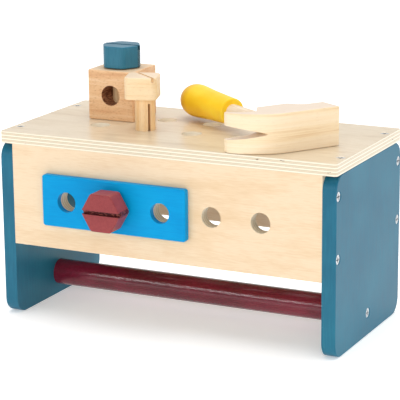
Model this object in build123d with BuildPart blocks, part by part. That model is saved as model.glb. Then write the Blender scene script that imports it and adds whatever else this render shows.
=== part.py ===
"""Wooden toy workbench that turns over to become a carry box.

Five plywood panels are screwed together round a cross bar, and the top and the front and back
boards are drilled for push-in wooden bolts. With it come three bolts, a drilled strip, a drilled
cube and a claw hammer. The bench stands on the floor at z = 0 with its front towards -Y.
Sizes are in millimetres.
"""

from math import cos, radians, sin
import os

from build123d import *

os.makedirs("parts", exist_ok=True)

# Bench
bench_width = 270.0
bench_depth = 128.0
bench_height = 142.0
top_thickness = 9.0
side_thickness = 10.5
board_thickness = 9.0
board_height = 77.0
foot_radius = 12.0
edge_ease = 0.8
corner_ease = 2.5
bar_diameter = 20.0
bar_height = 17.0

# Peg holes and what goes in them
hole_pitch = 38.5
hole_shift = 0.9
hole_columns = 5
hole_drop = 0.5
row_gap = 36.0
row_shift = 2.0
shank_diameter = 15.0
shank_length = 44.0
peg_clearance = 0.1
split_width = 2.0
split_start = 3.7
shank_chamfer = 1.0

# Bolt heads
hex_across_flats = 28.0
red_corner_radius = 3.0
blue_corner_radius = 5.8
square_head_width = 24.2
square_corner_radius = 4.5
standing_head_height = 16.8
front_head_height = 15.5
head_edge_radius = 1.0
head_slot_width = 3.0
fine_slot_width = 2.0
head_slot_depth = 3.5
tenon_length = 9.0
glue_gap = 0.05
red_bolt_proud = 3.2
blue_bolt_proud = 0.7
natural_bolt_proud = 24.1
natural_head_off_centre = (-0.7, -1.5)
natural_slot_angle = -38.0
natural_head_angle = -72.0

# Strip and cube
strip_length = 118.0
strip_width = 38.6
strip_thickness = 5.0
strip_corner_radius = 2.0
cube_size = 38.4
cube_edge_radius = 1.0
turning_gap = 0.3
resting_gap = 0.1

# Claw hammer
hammer_angle = -33.7
hammer_end_x = -21.0
hammer_end_y = 34.9
head_thickness = 28.8
head_seat = 109.0
head_height = 29.0
seat_half_width = 12.7
poll_reach = 38.4
poll_height = 19.8
poll_length = 15.0
poll_corner_radius = 3.5
face_slope = 1.0
neck_sagitta = 1.6
claw_radius = 42.0
claw_start = -4.0
claw_reach = 41.4
claw_tip_width = 5.5
claw_root = (121.5, -21.0)
claw_hollow = 2.2
hammer_edge_ease = 0.9
claw_gap = 10.4
claw_gap_end = 1.0
claw_gap_length = 21.4
cut_past = 1.0
grip_end = -12.5
grip_length = 67.3
grip_nose = 10.8
grip_nose_radius = 11.7
grip_swell = 23.0
grip_radius = 12.2
grip_shoulder_radius = 10.0
grip_taper = 0.04
shoulder_rounding = 1.2
neck_radius = 5.8
hammer_tenon = 20.0

# Wood screws
screw_length = 30.0
screw_radius = 1.75
screw_head_radius = 3.5
screw_sink_radius = 4.0
pilot_clearance = 0.05
screw_tip = 4.0
recess_width = 1.1
recess_depth = 1.6
recess_span = 4.4
upper_screw_height = 118.0
lower_screw_height = 73.0
top_screw_spacing = 86.0

# Worked-out places
front_build_out = turning_gap + strip_thickness + red_bolt_proud + front_head_height
bench_y = front_build_out / 2
front_y = bench_y - bench_depth / 2
back_y = bench_y + bench_depth / 2
panel_height = bench_height - top_thickness
inner_width = bench_width - 2 * side_thickness
board_bottom = panel_height - board_height
board_hole_z = panel_height - board_height / 2 - hole_drop
front_board_y = front_y + board_thickness / 2
back_board_y = back_y - board_thickness / 2
side_middle_x = (bench_width - side_thickness) / 2
front_row_y = bench_y + row_shift - row_gap / 2
back_row_y = front_row_y + row_gap
hole_radius = shank_diameter / 2 + peg_clearance
middle_column = (hole_columns - 1) / 2
column_x = [hole_shift + hole_pitch * (i - middle_column) for i in range(hole_columns)]
cube_x = column_x[0]
natural_x = column_x[1]
strip_x = column_x[1]
cube_bottom = bench_height + resting_gap
cube_top = cube_bottom + cube_size
pilot_radius = screw_radius + pilot_clearance


def finish(name, part):
    """Label a finished piece and write it to its own file."""
    part.label = name
    export_step(part, f"parts/{name}.step")


def screw_holes(planes):
    """Countersunk through holes for wood screws, one at the origin of each plane."""
    with Locations(*planes):
        CounterSinkHole(
            radius=pilot_radius,
            counter_sink_radius=screw_sink_radius,
            depth=screw_length + top_thickness,
            counter_sink_angle=90,
        )


def screw_point(x, y, z, outward):
    """Plane on the outer face where a screw goes in, its z axis pointing out of the wood."""
    return Plane(origin=(x, y, z), z_dir=outward)


# Screw places: two up each end of each board, one in each end of the bar, four in the top
left, right, up = (-1, 0, 0), (1, 0, 0), (0, 0, 1)
board_screw_spots = [
    (y, z) for y in (front_board_y, back_board_y) for z in (lower_screw_height, upper_screw_height)
]
left_screws_at = [screw_point(-bench_width / 2, y, z, left) for y, z in board_screw_spots]
right_screws_at = [screw_point(bench_width / 2, y, z, right) for y, z in board_screw_spots]
left_bar_screw_at = screw_point(-bench_width / 2, bench_y, bar_height, left)
right_bar_screw_at = screw_point(bench_width / 2, bench_y, bar_height, right)
top_screws_at = [
    screw_point(x, bench_y + y, bench_height, up)
    for x in (-side_middle_x, side_middle_x)
    for y in (-top_screw_spacing / 2, top_screw_spacing / 2)
]

# One countersunk wood screw, pointing down from its flat head, which sits just under the surface
head_drop = screw_sink_radius - screw_head_radius
with BuildPart() as screw:
    with BuildSketch(Plane.XZ):
        with BuildLine():
            Polyline(
                (0, -head_drop),
                (screw_head_radius, -head_drop),
                (screw_radius, -head_drop - (screw_head_radius - screw_radius)),
                (screw_radius, screw_tip - screw_length),
                (0, -screw_length),
                close=True,
            )
        make_face()
    revolve(axis=Axis.Z)
    with BuildSketch(Plane.XY.offset(-head_drop)):
        Rectangle(recess_span, recess_width)
        Rectangle(recess_width, recess_span)
    extrude(amount=-recess_depth, mode=Mode.SUBTRACT)

# Top board
with BuildPart() as top_board:
    with BuildSketch(Plane.XY.offset(panel_height)):
        with Locations((0, bench_y)):
            RectangleRounded(bench_width, bench_depth, corner_ease)
    extrude(amount=top_thickness)
    fillet(top_board.faces().sort_by(Axis.Z)[-1].edges(), edge_ease)
    with BuildSketch(Plane.XY.offset(bench_height)):
        with Locations(*[(x, y) for x in column_x for y in (front_row_y, back_row_y)]):
            Circle(hole_radius)
    extrude(amount=-top_thickness, mode=Mode.SUBTRACT)
    screw_holes(top_screws_at)
finish("top_board", top_board.part)

# Side panels, rounded at the feet and eased on their outer edges
side_outline_planes = {
    "left_side": (Plane(origin=(-bench_width / 2, bench_y, 0), x_dir=(0, 1, 0), z_dir=(1, 0, 0)), Axis.X),
    "right_side": (Plane(origin=(bench_width / 2, bench_y, 0), x_dir=(0, 1, 0), z_dir=(1, 0, 0)), -Axis.X),
}
panel_screws = {
    "left_side": [*left_screws_at, left_bar_screw_at],
    "right_side": [*right_screws_at, right_bar_screw_at],
}
for name, (outline_plane, inward) in side_outline_planes.items():
    thickness_sign = 1 if inward == Axis.X else -1
    with BuildPart() as side_panel:
        with BuildSketch(outline_plane) as outline:
            with Locations((0, panel_height / 2)):
                Rectangle(bench_depth, panel_height)
            fillet(outline.vertices().group_by(Axis.Z)[0], foot_radius)
        extrude(amount=thickness_sign * side_thickness)
        fillet(side_panel.faces().sort_by(inward)[0].edges(), edge_ease)
        screw_holes(panel_screws[name])
        screw_holes(top_screws_at)
    finish(name, side_panel.part)

# Front and back boards, alike, held between the side panels
for name, middle_y in (("front_board", front_board_y), ("back_board", back_board_y)):
    with BuildPart() as board:
        with Locations((0, middle_y, board_bottom + board_height / 2)):
            Box(inner_width, board_thickness, board_height)
        fillet(board.faces().sort_by(Axis.Z)[0].edges().filter_by(Axis.X), edge_ease)
        with BuildSketch(Plane.XZ.offset(-middle_y - board_thickness / 2)):
            with Locations(*[(x, board_hole_z) for x in column_x]):
                Circle(hole_radius)
        extrude(amount=board_thickness, mode=Mode.SUBTRACT)
        screw_holes([*left_screws_at, *right_screws_at])
    finish(name, board.part)

# Carry bar, a dowel butted against the side panels
with BuildPart() as carry_bar:
    with BuildSketch(Plane.YZ.offset(-inner_width / 2)):
        with Locations((bench_y, bar_height)):
            Circle(bar_diameter / 2)
    extrude(amount=inner_width)
    screw_holes([left_bar_screw_at, right_bar_screw_at])
finish("carry_bar", carry_bar.part)

# Screws, each group in one file
screw_groups = {
    "top_screws": top_screws_at,
    "left_side_screws": left_screws_at,
    "right_side_screws": right_screws_at,
    "bar_screws": [left_bar_screw_at, right_bar_screw_at],
}
for name, planes in screw_groups.items():
    with BuildPart() as screw_group:
        with Locations(*planes):
            add(screw.part)
    finish(name, screw_group.part)


def bolt_shank(name, seat):
    """Dowel shank with a saw cut up it, so that it springs; seat is under the head, z outwards."""
    with BuildPart() as shank:
        with BuildSketch(seat.offset(tenon_length)):
            Circle(shank_diameter / 2)
        extrude(amount=-tenon_length - shank_length)
        tip = shank.faces().sort_by(Axis(seat.origin, seat.z_dir))[0]
        chamfer(tip.edges(), shank_chamfer)
        with BuildSketch(seat.offset(-split_start)):
            Rectangle(shank_diameter * 2, split_width)
        extrude(amount=-shank_length, mode=Mode.SUBTRACT)
    finish(name, shank.part)


def cut_head(height, seat, slot_width):
    """Cut the screwdriver slot and the shank's socket into the head being built."""
    with BuildSketch(seat.offset(height)) as slot:
        Rectangle(hex_across_flats * 2, slot_width)
    extrude(slot.sketch, amount=-head_slot_depth, mode=Mode.SUBTRACT)
    with BuildSketch(seat) as socket:
        Circle(shank_diameter / 2 + glue_gap)
    extrude(socket.sketch, amount=tenon_length, mode=Mode.SUBTRACT)


def end_edges(head, seat):
    """Edges round both ends of a head, which stands on its seat."""
    faces = head.faces().sort_by(Axis(seat.origin, seat.z_dir))
    return faces[0].edges() + faces[-1].edges()


def hex_head(name, seat, height, corner_radius):
    """Hexagonal head, slotted from corner to corner along the seat's x axis."""
    with BuildPart() as head:
        with BuildSketch(seat) as outline:
            RegularPolygon(hex_across_flats / 2, 6, major_radius=False)
            fillet(outline.vertices(), corner_radius)
        extrude(amount=height)
        fillet(end_edges(head, seat), head_edge_radius)
        cut_head(height, seat, head_slot_width)
    finish(name, head.part)


def square_head(name, seat, height, off_centre, turn):
    """Square head with rounded corners, off its shank's centre and turned from its slot."""
    with BuildPart() as head:
        with BuildSketch(seat):
            with Locations(Location((*off_centre, 0), (0, 0, turn))):
                RectangleRounded(square_head_width, square_head_width, square_corner_radius)
        extrude(amount=height)
        fillet(end_edges(head, seat), head_edge_radius)
        cut_head(height, seat, fine_slot_width)
    finish(name, head.part)


# Strip, with holes at the pitch of the bench's, hung on the bolt through its middle hole
strip_back = front_y - turning_gap
strip_front = strip_back - strip_thickness
with BuildPart() as strip:
    with BuildSketch(Plane.XZ.offset(-strip_back)):
        with Locations((strip_x, board_hole_z)):
            RectangleRounded(strip_length, strip_width, strip_corner_radius)
    extrude(amount=strip_thickness)
    fillet(strip.faces().sort_by(Axis.Y)[0].edges(), edge_ease)
    with BuildSketch(Plane.XZ.offset(-strip_back)):
        with Locations(*[(strip_x + i * hole_pitch, board_hole_z) for i in (-1, 0, 1)]):
            Circle(hole_radius)
    extrude(amount=strip_thickness, mode=Mode.SUBTRACT)
finish("perforated_strip", strip.part)

# Red hexagon bolt through the strip and the front board, pushed almost home
red_seat = Plane(
    origin=(strip_x, strip_front - red_bolt_proud, board_hole_z), x_dir=(1, 0, 0), z_dir=(0, -1, 0)
)
bolt_shank("red_bolt_shank", red_seat)
hex_head("red_bolt_head", red_seat, front_head_height, red_corner_radius)

# Cube, drilled through from top to bottom and from front to back
with BuildPart() as cube:
    with Locations((cube_x, back_row_y, cube_bottom + cube_size / 2)):
        Box(cube_size, cube_size, cube_size)
    fillet(cube.edges(), cube_edge_radius)
    with BuildSketch(Plane.XY.offset(cube_bottom)):
        with Locations((cube_x, back_row_y)):
            Circle(hole_radius)
    extrude(amount=cube_size, mode=Mode.SUBTRACT)
    with BuildSketch(Plane.XZ.offset(-back_row_y - cube_size / 2)):
        with Locations((cube_x, cube_bottom + cube_size / 2)):
            Circle(hole_radius)
    extrude(amount=cube_size, mode=Mode.SUBTRACT)
finish("cube", cube.part)

# Blue hexagon bolt down through the cube and the top
blue_seat = Plane(origin=(cube_x, back_row_y, cube_top + blue_bolt_proud), x_dir=(1, 0, 0), z_dir=(0, 0, 1))
bolt_shank("blue_bolt_shank", blue_seat)
hex_head("blue_bolt_head", blue_seat, standing_head_height, blue_corner_radius)

# Plain bolt, pushed part of the way into the top
natural_seat = Plane(
    origin=(natural_x, front_row_y, bench_height + natural_bolt_proud),
    x_dir=(cos(radians(natural_slot_angle)), sin(radians(natural_slot_angle)), 0),
    z_dir=(0, 0, 1),
)
bolt_shank("natural_bolt_shank", natural_seat)
head_turn = natural_head_angle - natural_slot_angle
square_head("natural_bolt_head", natural_seat, standing_head_height, natural_head_off_centre, head_turn)

# Hammer, lying on its side: its own x runs along the handle from the grip to the head
hammer_plane = Plane(
    origin=(hammer_end_x, hammer_end_y + bench_y, bench_height + resting_gap),
    x_dir=(cos(radians(hammer_angle)), sin(radians(hammer_angle)), 0),
    z_dir=(0, 0, 1),
)
handle_plane = Plane(
    origin=hammer_plane.from_local_coords((0, 0, head_thickness / 2)),
    x_dir=hammer_plane.x_dir,
    z_dir=-hammer_plane.y_dir,
)
socket_plane = Plane(
    origin=hammer_plane.from_local_coords((head_seat, 0, head_thickness / 2)),
    z_dir=hammer_plane.x_dir,
)
crown = head_seat + head_height
poll_inner = crown - poll_height
poll_neck = poll_reach - poll_length
face_inner_corner = (poll_inner, poll_reach - face_slope)
claw_drop = claw_reach + claw_start
claw_tip_outer = (crown - claw_radius + (claw_radius**2 - claw_drop**2) ** 0.5, -claw_reach)
claw_tip_inner = (claw_tip_outer[0] - claw_tip_width, -claw_reach)
with BuildPart() as hammer_head:
    with BuildSketch(hammer_plane) as outline:
        with BuildLine():
            Polyline(claw_root, (head_seat, -seat_half_width), (head_seat, seat_half_width))
            SagittaArc((head_seat, seat_half_width), (poll_inner, poll_neck), -neck_sagitta)
            Line((poll_inner, poll_neck), face_inner_corner)
            Polyline(face_inner_corner, (crown, poll_reach), (crown, claw_start))
            RadiusArc((crown, claw_start), claw_tip_outer, claw_radius)
            Line(claw_tip_outer, claw_tip_inner)
            SagittaArc(claw_tip_inner, claw_root, -claw_hollow)
        make_face()
        rounded = outline.vertices().sort_by_distance(
            hammer_plane.from_local_coords((*face_inner_corner, 0))
        )[0]
        fillet(rounded, poll_corner_radius)
    extrude(amount=head_thickness)
    fillet(hammer_head.edges(), hammer_edge_ease)
    gap_plane = Plane(
        origin=hammer_plane.from_local_coords((0, -claw_reach, head_thickness / 2)),
        x_dir=hammer_plane.y_dir,
        z_dir=hammer_plane.x_dir,
    )
    with BuildSketch(gap_plane):
        with BuildLine():
            Polyline(
                (-cut_past, claw_gap / 2),
                (claw_gap_length, claw_gap_end / 2),
                (claw_gap_length, -claw_gap_end / 2),
                (-cut_past, -claw_gap / 2),
                close=True,
            )
        make_face()
    extrude(amount=crown + cut_past, mode=Mode.SUBTRACT)
    with BuildSketch(socket_plane):
        Circle(neck_radius + glue_gap)
    extrude(amount=hammer_tenon, mode=Mode.SUBTRACT)
finish("hammer_head", hammer_head.part)

# Handle, turned in one piece: swelling grip, shoulder, thin neck and the tenon in the head
shoulder = grip_end + grip_length
round_start = (shoulder, grip_shoulder_radius - shoulder_rounding)
round_end = (shoulder - shoulder_rounding, grip_shoulder_radius)
tenon_end = head_seat + hammer_tenon
with BuildPart() as handle:
    with BuildSketch(handle_plane):
        with BuildLine():
            Polyline((grip_end, 0), (tenon_end, 0), (tenon_end, neck_radius), (shoulder, neck_radius))
            Line((shoulder, neck_radius), round_start)
            RadiusArc(round_start, round_end, -shoulder_rounding)
            Spline(
                round_end,
                (grip_end + grip_swell, grip_radius),
                (grip_end + grip_nose, grip_nose_radius),
                (grip_end, 0),
                tangents=[(-1, grip_taper), (0, -1)],
            )
        make_face()
    revolve(axis=Axis(handle_plane.origin, handle_plane.x_dir))
finish("hammer_handle", handle.part)
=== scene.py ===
from math import cos, radians, sin

import bpy
import numpy as np
from mathutils import Matrix, Vector


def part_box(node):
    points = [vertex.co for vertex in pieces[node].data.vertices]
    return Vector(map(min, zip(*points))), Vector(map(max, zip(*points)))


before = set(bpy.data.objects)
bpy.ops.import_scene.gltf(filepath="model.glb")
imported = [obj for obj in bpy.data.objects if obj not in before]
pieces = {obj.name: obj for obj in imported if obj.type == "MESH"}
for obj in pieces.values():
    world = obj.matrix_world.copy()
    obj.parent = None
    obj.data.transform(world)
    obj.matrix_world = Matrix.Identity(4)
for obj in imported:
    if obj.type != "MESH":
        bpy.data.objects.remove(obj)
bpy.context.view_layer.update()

# ---------------------------------------------------------------------------
# Top board and the front and back boards
# Light birch plywood in 9 mm sheet, sawn, drilled and sanded, under a thin
# clear lacquer. Its plies show on every edge and inside every hole.
# ---------------------------------------------------------------------------


def linear(hex_colour):
    """Linear RGBA from an sRGB hex string, by the sRGB curve: the lowest values are divided by
    12.92, and the rest are shifted, scaled and raised to the power 2.4."""
    srgb = np.array([int(hex_colour[i : i + 2], 16) for i in (1, 3, 5)]) / 255
    shade = np.where(srgb <= 0.04045, srgb / 12.92, ((srgb + 0.055) / 1.055) ** 2.4)
    return (*shade.tolist(), 1.0)


def add(material, kind, settings=None, links=None):
    """Add one shader node with its settings and links. A setting is for the property or the socket
    in use of that name, or the socket of that number, and stops are a ramp's positions and
    colours. A link comes from an output, or from a node's first output in use."""
    node = material.node_tree.nodes.new("ShaderNode" + kind)

    def socket(name):
        return node.inputs[name] if isinstance(name, int) else next(
            one for one in node.inputs if one.enabled and one.name == name)

    for name, value in (settings or {}).items():
        if name == "stops":
            ramp = node.color_ramp.elements
            for i, (position, hex_colour) in enumerate(value):
                stop = ramp[i] if i < 2 else ramp.new(position)
                stop.position, stop.color = position, linear(hex_colour)
        elif isinstance(name, str) and hasattr(node, name):
            setattr(node, name, value)
        else:
            socket(name).default_value = value
    for name, source in (links or {}).items():
        if isinstance(source, bpy.types.Node):
            source = next(one for one in source.outputs if one.enabled)
        material.node_tree.links.new(source, socket(name))
    return node


def streaks(material, place, size_mm, detail=3.0):
    """Cloudy pattern between 0 and 1, whose patches have a size in millimetres along x, y and z."""
    scaled = add(material, "Mapping", {"Scale": [1000 / size for size in size_mm]}, {"Vector": place})
    return add(material, "TexNoise", {"Scale": 1.0, "Detail": detail}, {"Vector": scaled})


def surfaced(name, wood, gloss, relief_mm, shine, turn=0.0, coat=0.0, crisp=False):
    """Material with a wood's colour and raised fibres. `wood` gets the material, the place and the
    flat normal and gives those two; `gloss` is the roughness between the fibres and on them. A
    crisp piece is shaded by its flat normals, so that the rims of its holes stay sharp."""
    material = bpy.data.materials.new(name)
    material.use_nodes = True
    material.node_tree.nodes.clear()
    where = add(material, "TexCoord").outputs["Object"]
    place = add(material, "Mapping", {"Rotation": (0, 0, turn)}, {"Vector": where})
    flat = add(material, "NewGeometry").outputs["True Normal"]
    colour, fibres = wood(material, place, flat)
    relief_links = {"Height": fibres}
    if crisp:
        relief_links["Normal"] = flat
    relief = add(material, "Bump", {"Strength": 0.4, "Distance": relief_mm / 1000}, relief_links)
    rough = add(material, "MapRange", {"To Min": gloss[0], "To Max": gloss[1]}, {"Value": fibres})
    surface = add(
        material, "BsdfPrincipled",
        {"IOR": 1.5, "Specular IOR Level": shine, "Coat Weight": coat, "Coat Roughness": 0.2},
        {"Base Color": colour, "Roughness": rough, "Normal": relief},
    )
    add(material, "OutputMaterial", links={"Surface": surface})
    return material


def put_on(material, *names):
    """Put one material on the named pieces."""
    for name in names:
        pieces[name].data.materials.clear()
        pieces[name].data.materials.append(material)


def birch_plywood(sheet_axis, low, high, face_stops, hole_light_within=(0, 0)):
    """Plywood lying square to one axis between two faces. Rotary-cut birch has a wide, cloudy figure
    along the sheet. On the edges its seven plies take turns, side grain pale and end grain a little
    darker, with a thin glue line between them, drawn 0.15 mm wide so that it shows. Holes drilled
    within these half sizes of the middle of a level sheet are bare inside, and their walls are
    painted lighter there: painted light, for the bright light that falls on them."""

    def wood(material, place, normal):
        figure = streaks(material, place, (60, 9, 9))
        fibres = streaks(material, place, (10, 1.0, 1.0), 4.0)
        clouds = streaks(material, place, (160, 60, 60))
        drift = add(material, "Mix", {"data_type": "FLOAT", "Factor": 0.5}, {"A": figure, "B": fibres})
        drift = add(material, "Mix", {"data_type": "FLOAT", "Factor": 0.35}, {"A": drift, "B": clouds})
        face = add(material, "ValToRGB", {"stops": face_stops}, {"Fac": drift})
        depth = add(material, "SeparateXYZ", links={"Vector": place}).outputs[sheet_axis]
        waver = add(material, "MapRange", {"To Min": -0.00012, "To Max": 0.00012},
                    {"Value": streaks(material, place, (20, 20, 20))})
        depth = add(material, "Math", {"operation": "ADD"}, {0: depth, 1: waver})
        ply_pairs = 3.5
        ply = add(material, "MapRange",
                  {"clamp": False, "From Min": low, "From Max": high, "To Max": ply_pairs}, {"Value": depth})
        cycle = add(material, "Math", {"operation": "FRACT"}, {0: ply})
        ply_stops = [(0.0, "#AE9F84"), (0.06, "#F1E6D0"), (0.44, "#F6ECD8"), (0.5, "#A89A80"),
                     (0.56, "#E2D1B4"), (0.94, "#DDCBAC"), (1.0, "#AE9F84")]
        edge = add(material, "ValToRGB", {"stops": ply_stops}, {"Fac": cycle})
        knots = add(material, "ValToRGB", {"stops": [(0.69, "#FFFFFF"), (0.74, "#7E6142")]},
                    {"Fac": streaks(material, place, (9, 9, 2.2))})
        edge = add(material, "Mix", {"data_type": "RGBA", "blend_type": "MULTIPLY", "Factor": 0.8},
                   {"A": edge, "B": knots})
        if all(hole_light_within):
            centred = add(material, "Mapping", {"vector_type": "TEXTURE", "Location": (0, bench_middle_y, 0),
                                                "Scale": (*hole_light_within, 1)}, {"Vector": place})
            centred = add(material, "VectorMath", {"operation": "ABSOLUTE"}, {0: centred})
            sides = add(material, "SeparateXYZ", links={"Vector": centred}).outputs
            furthest = add(material, "Math", {"operation": "MAXIMUM"}, {0: sides["X"], 1: sides["Y"]})
            drilled = add(material, "Math", {"operation": "LESS_THAN", 1: 1.0}, {0: furthest})
            # The hole walls here are painted lighter: painted light for the bright light on them.
            painted_hole_light = add(material, "MapRange", {"To Max": 0.8}, {"Value": drilled})
            edge = add(material, "Mix", {"data_type": "RGBA", "B": linear("#FFF6E2")},
                       {"Factor": painted_hole_light, "A": edge})
        facing = add(material, "SeparateXYZ", links={"Vector": normal}).outputs[sheet_axis]
        facing = add(material, "Math", {"operation": "ABSOLUTE"}, {0: facing})
        on_face = add(material, "MapRange", {"From Min": 0.6, "From Max": 0.8}, {"Value": facing})
        colour = add(material, "Mix", {"data_type": "RGBA"}, {"Factor": on_face, "A": edge, "B": face})
        return colour, fibres

    return wood


top_low, top_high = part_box("top_board")
bench_middle_y = (top_low[1] + top_high[1]) / 2
front_low, front_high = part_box("front_board")
back_low, back_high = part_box("back_board")
# The top's tones are greyer and darker than the boards' faces of the same plywood: painted sheen and painted
# shade for how the light falls on a level face.
top_sheen_stops = [(0.36, "#C3AD90"), (0.46, "#D2BFA1"), (0.54, "#DCCCB2"), (0.62, "#CFBA9A")]
board_stops = [(0.34, "#E2C298"), (0.46, "#E9CDA9"), (0.54, "#EED6B6"), (0.66, "#E6C9A3")]
# Within this area the walls of the top's holes are painted lighter, as painted light.
peg_area_half = (0.12, 0.05)
top_wood = birch_plywood("Z", top_low[2], top_high[2], top_sheen_stops, hole_light_within=peg_area_half)
front_wood = birch_plywood("Y", front_low[1], front_high[1], board_stops)
back_wood = birch_plywood("Y", back_low[1], back_high[1], board_stops)
put_on(surfaced("birch_plywood_top", top_wood, (0.26, 0.42), 0.12, 0.5, coat=0.3, crisp=True),
       "top_board")
put_on(surfaced("birch_plywood_front", front_wood, (0.4, 0.55), 0.12, 0.3, crisp=True), "front_board")
put_on(surfaced("birch_plywood_back", back_wood, (0.4, 0.55), 0.12, 0.3, crisp=True), "back_board")

# ---------------------------------------------------------------------------
# Side panels
# Plywood rounded at the feet and sprayed with thin satin petrol-blue paint,
# so that the upright grain still shows as a faint relief.
# ---------------------------------------------------------------------------


def painted(paint_stops, fibre_mm):
    """Paint on wood. It drifts a little in tone, along fibres that still stand up through it."""

    def wood(material, place, normal):
        clouds = streaks(material, place, (50, 50, 50))
        fibres = streaks(material, place, fibre_mm, 4.0)
        drift = add(material, "Mix", {"data_type": "FLOAT", "Factor": 0.35}, {"A": clouds, "B": fibres})
        return add(material, "ValToRGB", {"stops": paint_stops}, {"Fac": drift}), fibres

    return wood


petrol_wood = painted([(0.38, "#13627D"), (0.5, "#196A84"), (0.62, "#20728B")], (1.2, 1.2, 15))
put_on(surfaced("petrol_paint_on_plywood", petrol_wood, (0.34, 0.48), 0.12, 0.28),
       "left_side", "right_side")

# ---------------------------------------------------------------------------
# Carry bar
# A 20 mm dowel in glossy burgundy paint, held by a screw through each side
# panel. The raised grain breaks its gloss into fine bright specks.
# ---------------------------------------------------------------------------

burgundy_wood = painted([(0.38, "#5C0A1C"), (0.5, "#701026"), (0.62, "#821830")], (2.0, 0.9, 0.9))
put_on(surfaced("burgundy_gloss_on_dowel", burgundy_wood, (0.1, 0.22), 0.32, 0.7), "carry_bar")

# ---------------------------------------------------------------------------
# Wood screws
# Countersunk steel screws with a cross recess, bright zinc plated, driven in
# flush: four in the top and five in each side.
# ---------------------------------------------------------------------------

zinc = bpy.data.materials.new("bright_zinc_plate")
zinc.use_nodes = True
zinc.node_tree.nodes.clear()
marks = streaks(zinc, add(zinc, "TexCoord").outputs["Object"], (1.2, 1.2, 1.2))
plate_colour = add(zinc, "ValToRGB", {"stops": [(0.35, "#BFC1C3"), (0.6, "#E9EAEB")]}, {"Fac": marks})
plate_gloss = add(zinc, "MapRange", {"To Min": 0.3, "To Max": 0.5}, {"Value": marks})
plate = add(zinc, "BsdfPrincipled", {"Metallic": 1.0},
            {"Base Color": plate_colour, "Roughness": plate_gloss})
add(zinc, "OutputMaterial", links={"Surface": plate})
put_on(zinc, "top_screws", "left_side_screws", "right_side_screws", "bar_screws")

# ---------------------------------------------------------------------------
# Drilled strip
# Thin plywood in satin sky-blue paint, hung by its middle hole on the red
# bolt. The paint covers its edges and runs into the holes.
# ---------------------------------------------------------------------------

sky_wood = painted([(0.38, "#008FCE"), (0.5, "#0096D3"), (0.62, "#049ED8")], (12, 1.0, 1.0))
put_on(surfaced("sky_paint_on_plywood", sky_wood, (0.38, 0.52), 0.1, 0.1), "perforated_strip")

# ---------------------------------------------------------------------------
# Red bolt and blue bolt
# Hexagonal beech heads, slotted and dipped in satin paint, then glued on
# bare 15 mm dowels with a saw cut up them. The paint is thin in the slots,
# and their dark flecks are painted shade.
# ---------------------------------------------------------------------------


def slotted(paint_stops, fibre_mm, deep_axis, wide_axis, end_face, middle, shade_and_bare_fleck_stops):
    """Painted and slotted head. Below the end face along one axis and near the middle along the
    other, which is inside the slot, the paint is thin; there the colour is dark flecks of painted
    shade and pale flecks of bare wood."""
    paint = painted(paint_stops, fibre_mm)
    skin, slot_half_width = 0.0006, 0.0021

    def wood(material, place, normal):
        outside, fibres = paint(material, place, normal)
        axes = add(material, "SeparateXYZ", links={"Vector": place}).outputs
        tests = []
        for axis, zero, operation, limit in ((wide_axis, middle, "LESS_THAN", slot_half_width),
                                             (deep_axis, end_face, "GREATER_THAN", skin)):
            away = add(material, "Math", {"operation": "SUBTRACT", 1: zero}, {0: axes[axis]})
            away = add(material, "Math", {"operation": "ABSOLUTE"}, {0: away})
            tests.append(add(material, "Math", {"operation": operation, 1: limit}, {0: away}))
        inside = add(material, "Math", {"operation": "MULTIPLY"}, {0: tests[0], 1: tests[1]})
        # Inside the slot, the dark flecks are painted shade and the pale flecks bare wood.
        flecks = add(material, "ValToRGB", {"stops": shade_and_bare_fleck_stops},
                     {"Fac": streaks(material, place, (1.6, 1.6, 0.8))})
        colour = add(material, "Mix", {"data_type": "RGBA"}, {"Factor": inside, "A": outside, "B": flecks})
        return colour, fibres

    return wood


red_low, red_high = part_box("red_bolt_head")
red_middle = (red_low[2] + red_high[2]) / 2
brick_stops = [(0.38, "#87363A"), (0.5, "#923D3F"), (0.62, "#9D4545")]
# Slot colours: the dark ones are painted shade, the pale one bare wood.
brick_slot_shade_flecks = [(0.35, "#380A0F"), (0.52, "#5F1B22"), (0.66, "#A8604F")]
red_wood = slotted(brick_stops, (1.2, 8, 1.2), "Y", "Z", red_low[1], red_middle, brick_slot_shade_flecks)
put_on(surfaced("brick_paint_on_beech", red_wood, (0.34, 0.48), 0.12, 0.25), "red_bolt_head")
blue_low, blue_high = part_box("blue_bolt_head")
blue_middle = (blue_low[1] + blue_high[1]) / 2
teal_stops = [(0.38, "#21667F"), (0.5, "#276F88"), (0.62, "#2E7790")]
# Slot colours: the dark ones are painted shade, the pale one bare wood.
teal_slot_shade_flecks = [(0.35, "#123C4B"), (0.52, "#1C5264"), (0.66, "#4C7A84")]
teal_wood = slotted(teal_stops, (1.2, 1.2, 8), "Z", "Y", blue_high[2], blue_middle, teal_slot_shade_flecks)
put_on(surfaced("teal_paint_on_beech", teal_wood, (0.27, 0.42), 0.12, 0.35), "blue_bolt_head")

# ---------------------------------------------------------------------------
# Bare dowels, plain bolt and cube
# Sanded beech under a thin clear lacquer: dowels with upright grain, a head
# with faint growth layers, and a cube with short flecks in level grain.
# ---------------------------------------------------------------------------


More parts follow.
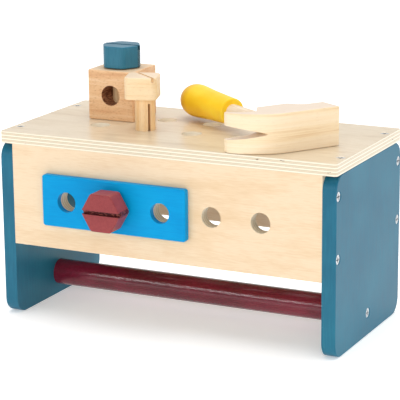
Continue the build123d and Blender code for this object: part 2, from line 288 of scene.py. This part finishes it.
def beech(wood_stops, layer_mm, fleck_mm, fleck_strength, sheen_hex):
    """Beech: soft growth layers with fine fibres, and short darker flecks, all drawn out along the
    grain. Faces turned up are painted a little greyer than the others: a painted sheen of the light
    from above."""

    def wood(material, place, normal):
        layers = streaks(material, place, layer_mm)
        fibres = streaks(material, place, [max(size * 0.14, 0.9) for size in layer_mm], 4.0)
        figure = add(material, "Mix", {"data_type": "FLOAT", "Factor": 0.25}, {"A": layers, "B": fibres})
        colour = add(material, "ValToRGB", {"stops": wood_stops}, {"Fac": figure})
        flecks = add(material, "ValToRGB", {"stops": [(0.58, "#FFFFFF"), (0.68, "#B4865C")]},
                     {"Fac": streaks(material, place, fleck_mm, 1.0)})
        colour = add(material, "Mix",
                     {"data_type": "RGBA", "blend_type": "MULTIPLY", "Factor": fleck_strength},
                     {"A": colour, "B": flecks})
        # Faces turned up are painted greyer: a painted sheen of the light from above.
        up = add(material, "SeparateXYZ", links={"Vector": normal}).outputs["Z"]
        painted_sheen = add(material, "MapRange", {"From Min": 0.7, "From Max": 0.95, "To Max": 0.75}, {"Value": up})
        colour = add(material, "Mix", {"data_type": "RGBA", "B": linear(sheen_hex)},
                     {"Factor": painted_sheen, "A": colour})
        return colour, fibres

    return wood


# The last colour given to beech is the painted sheen on its faces turned up.
dowel_stops = [(0.38, "#EEC28A"), (0.5, "#F4CE9A"), (0.62, "#F8D9AC")]
upright_dowel = beech(dowel_stops, (4, 4, 90), (0.8, 0.8, 4), 0.15, "#E6C79C")
level_dowel = beech(dowel_stops, (4, 90, 4), (0.8, 4, 0.8), 0.15, "#E6C79C")
put_on(surfaced("bare_dowel_upright", upright_dowel, (0.36, 0.5), 0.1, 0.4),
       "natural_bolt_shank", "blue_bolt_shank")
put_on(surfaced("bare_dowel_level", level_dowel, (0.36, 0.5), 0.1, 0.4), "red_bolt_shank")
head_stops = [(0.34, "#F0CF9D"), (0.5, "#F5D9AE"), (0.66, "#F8DEB6")]
head_wood = beech(head_stops, (40, 40, 2.6), (3, 3, 0.9), 0.1, "#E3CDB4")
put_on(surfaced("pale_beech_head", head_wood, (0.34, 0.48), 0.1, 0.4), "natural_bolt_head")

cube_low, cube_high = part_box("cube")
cube_middle = (Vector(cube_low) + Vector(cube_high)) / 2
cube_stops = [(0.36, "#DEAB7E"), (0.5, "#E9BE90"), (0.64, "#F0CBA3")]
cube_beech = beech(cube_stops, (60, 14, 4), (2.2, 1.0, 0.7), 0.3, "#E4C8A6")


def drilled_cube(material, place, normal):
    """Beech with level grain, painted darker inside its two bores: painted shade in the bores."""
    outside, fibres = cube_beech(material, place, normal)
    centred = add(material, "VectorMath", {"operation": "SUBTRACT", 1: cube_middle}, {0: place})
    from_axis = []
    for flattened in ((1, 0, 1), (1, 1, 0)):
        across = add(material, "VectorMath", {"operation": "MULTIPLY", 1: flattened}, {0: centred})
        from_axis.append(add(material, "VectorMath", {"operation": "LENGTH"}, {0: across}).outputs["Value"])
    nearest = add(material, "Math", {"operation": "MINIMUM"}, {0: from_axis[0], 1: from_axis[1]})
    bore_wall = 0.0078
    inside = add(material, "Math", {"operation": "LESS_THAN", 1: bore_wall}, {0: nearest})
    # The bore walls are painted dark brown: painted shade inside the bores.
    painted_bore_shade = add(material, "ValToRGB", {"stops": [(0.38, "#6E3A22"), (0.6, "#B98460")]},
                 {"Fac": streaks(material, place, (1, 4, 1))})
    colour = add(material, "Mix", {"data_type": "RGBA"}, {"Factor": inside, "A": outside, "B": painted_bore_shade})
    return colour, fibres


put_on(surfaced("beech_cube", drilled_cube, (0.38, 0.52), 0.12, 0.35), "cube")

# ---------------------------------------------------------------------------
# Claw hammer
# A head sawn from pale beech, its grain in level layers, on a handle turned
# in one piece: the grip dipped in glossy yellow paint, the neck left bare.
# ---------------------------------------------------------------------------

hammer_turn = radians(33.7)
layered_beech = beech([(0.34, "#E3BF8F"), (0.43, "#F3DAB2"), (0.55, "#F7E2C2"), (0.66, "#EED2A6")],
                      (600, 300, 7), (5, 5, 0.8), 0.06, "#DDCDBF")
put_on(surfaced("pale_beech_hammer", layered_beech, (0.34, 0.48), 0.1, 0.4, turn=hammer_turn), "hammer_head")

# The handle is measured from one point on its axis. The grip runs this far behind and ahead of it.
handle_zero = Vector((-0.021, bench_middle_y + 0.0349, 0))
grip_behind, grip_ahead = 0.0125, 0.0549
end_shade_length = 0.02
handle_from = (Matrix.Rotation(hammer_turn, 3, "Z") @ handle_zero).x
grip_end_at, shoulder_at = handle_from - grip_behind, handle_from + grip_ahead


def dipped_handle(material, place, normal):
    """Yellow paint as far as the shoulder and bare wood beyond it, measured along the handle. Towards
    the rounded end the yellow is painted darker: painted shade on the end that faces away from the light."""
    fibres = streaks(material, place, (20, 1, 1), 4.0)
    paint = add(material, "ValToRGB", {"stops": [(0.38, "#FAC816"), (0.5, "#FFD024"), (0.62, "#FFD833")]},
                {"Fac": streaks(material, place, (30, 20, 20))})
    bare = add(material, "ValToRGB", {"stops": [(0.38, "#DDC4A4"), (0.62, "#ECDAC0")]}, {"Fac": fibres})
    reach = add(material, "SeparateXYZ", links={"Vector": place}).outputs["X"]
    # The grip's rounded end is painted darker over its last 20 mm: painted shade.
    painted_end_shade = add(material, "MapRange", {"From Min": grip_end_at, "From Max": grip_end_at + end_shade_length,
                                        "To Min": 1.0, "To Max": 0.0}, {"Value": reach})
    paint = add(material, "Mix", {"data_type": "RGBA", "B": linear("#BD7A10")},
                {"Factor": painted_end_shade, "A": paint})
    past = add(material, "Math", {"operation": "GREATER_THAN", 1: shoulder_at}, {0: reach})
    colour = add(material, "Mix", {"data_type": "RGBA"}, {"Factor": past, "A": paint, "B": bare})
    return colour, fibres


put_on(surfaced("yellow_gloss_and_bare_beech", dipped_handle, (0.3, 0.42), 0.08, 0.3, turn=hammer_turn),
       "hammer_handle")

# ---------------------------------------------------------------------------
# Floor, lights and camera
# A white floor in a room whose far wall is the brightest. A wide lamp in front
# at the right, a long low one at the left for the bar's gleam, and two to fill.
# ---------------------------------------------------------------------------

floor_half = 6.0
floor_mesh = bpy.data.meshes.new("floor")
floor_corners = [(x * floor_half, y * floor_half, 0) for x, y in ((-1, -1), (1, -1), (1, 1), (-1, 1))]
floor_mesh.from_pydata(floor_corners, [], [(0, 1, 2, 3)])
floor = bpy.data.objects.new("floor", floor_mesh)
bpy.context.collection.objects.link(floor)
paper = bpy.data.materials.new("white_paper")
paper.use_nodes = True
paper.node_tree.nodes.clear()
sheet = add(paper, "BsdfPrincipled", {"Base Color": linear("#FBFBFB"), "Roughness": 0.9,
                                      "Emission Color": linear("#FFFFFF"), "Emission Strength": 0.3})
add(paper, "OutputMaterial", links={"Surface": sheet})
floor_mesh.materials.append(paper)

lit_point = Vector((0, 0, 0.08))


def soft_lamp(name, place, width, height, watts):
    """A rectangular lamp at one place, turned to face the middle of the bench."""
    light = bpy.data.lights.new(name, "AREA")
    light.shape, light.size, light.size_y, light.energy = "RECTANGLE", width, height, watts
    lamp = bpy.data.objects.new(name, light)
    lamp.location = place
    lamp.rotation_euler = (lit_point - Vector(place)).to_track_quat("-Z", "Y").to_euler()
    bpy.context.collection.objects.link(lamp)


soft_lamp("front_lamp", (0.9, -2.1, 1.1), 1.9, 1.0, 14)
soft_lamp("low_lamp", (-0.9, -1.9, 0.84), 1.7, 0.1, 8.5)
soft_lamp("overhead_lamp", (0, 0.1, 2.2), 2.2, 2.2, 35)
soft_lamp("right_lamp", (2.2, 0.1, 0.9), 1.6, 1.2, 5)

world = bpy.data.worlds.new("studio")
world.use_nodes = True
world.node_tree.nodes.clear()
ray = add(world, "TexCoord").outputs["Generated"]
ahead = add(world, "SeparateXYZ", links={"Vector": ray}).outputs["Y"]
wall = add(world, "MapRange", {"From Min": -0.2, "From Max": 0.4, "To Min": 0.28, "To Max": 0.8},
           {"Value": ahead})
room = add(world, "Background", {"Color": linear("#FFFFFF")}, {"Strength": wall})
add(world, "OutputWorld", links={"Surface": room})
bpy.context.scene.world = world
bpy.context.scene.view_settings.view_transform = "Standard"

# The camera is a long lens well back, turned 26 degrees round to the right of the bench
camera_place = Vector((0.5828, -1.1741, 0.4271))
heading, tilt, roll = radians(26.194), radians(14.401), radians(-0.518)
forward = Vector((-sin(heading) * cos(tilt), cos(heading) * cos(tilt), -sin(tilt)))
level = Vector((cos(heading), sin(heading), 0))
upright = level.cross(forward)
right = level * cos(roll) + upright * sin(roll)
above = upright * cos(roll) - level * sin(roll)
lens = bpy.data.cameras.new("camera")
lens.sensor_width = 36.0
lens.lens = 163.4
camera = bpy.data.objects.new("camera", lens)
turned = Matrix((right, above, -forward)).transposed().to_4x4()
camera.matrix_world = Matrix.Translation(camera_place) @ turned
bpy.context.collection.objects.link(camera)
bpy.context.scene.camera = camera
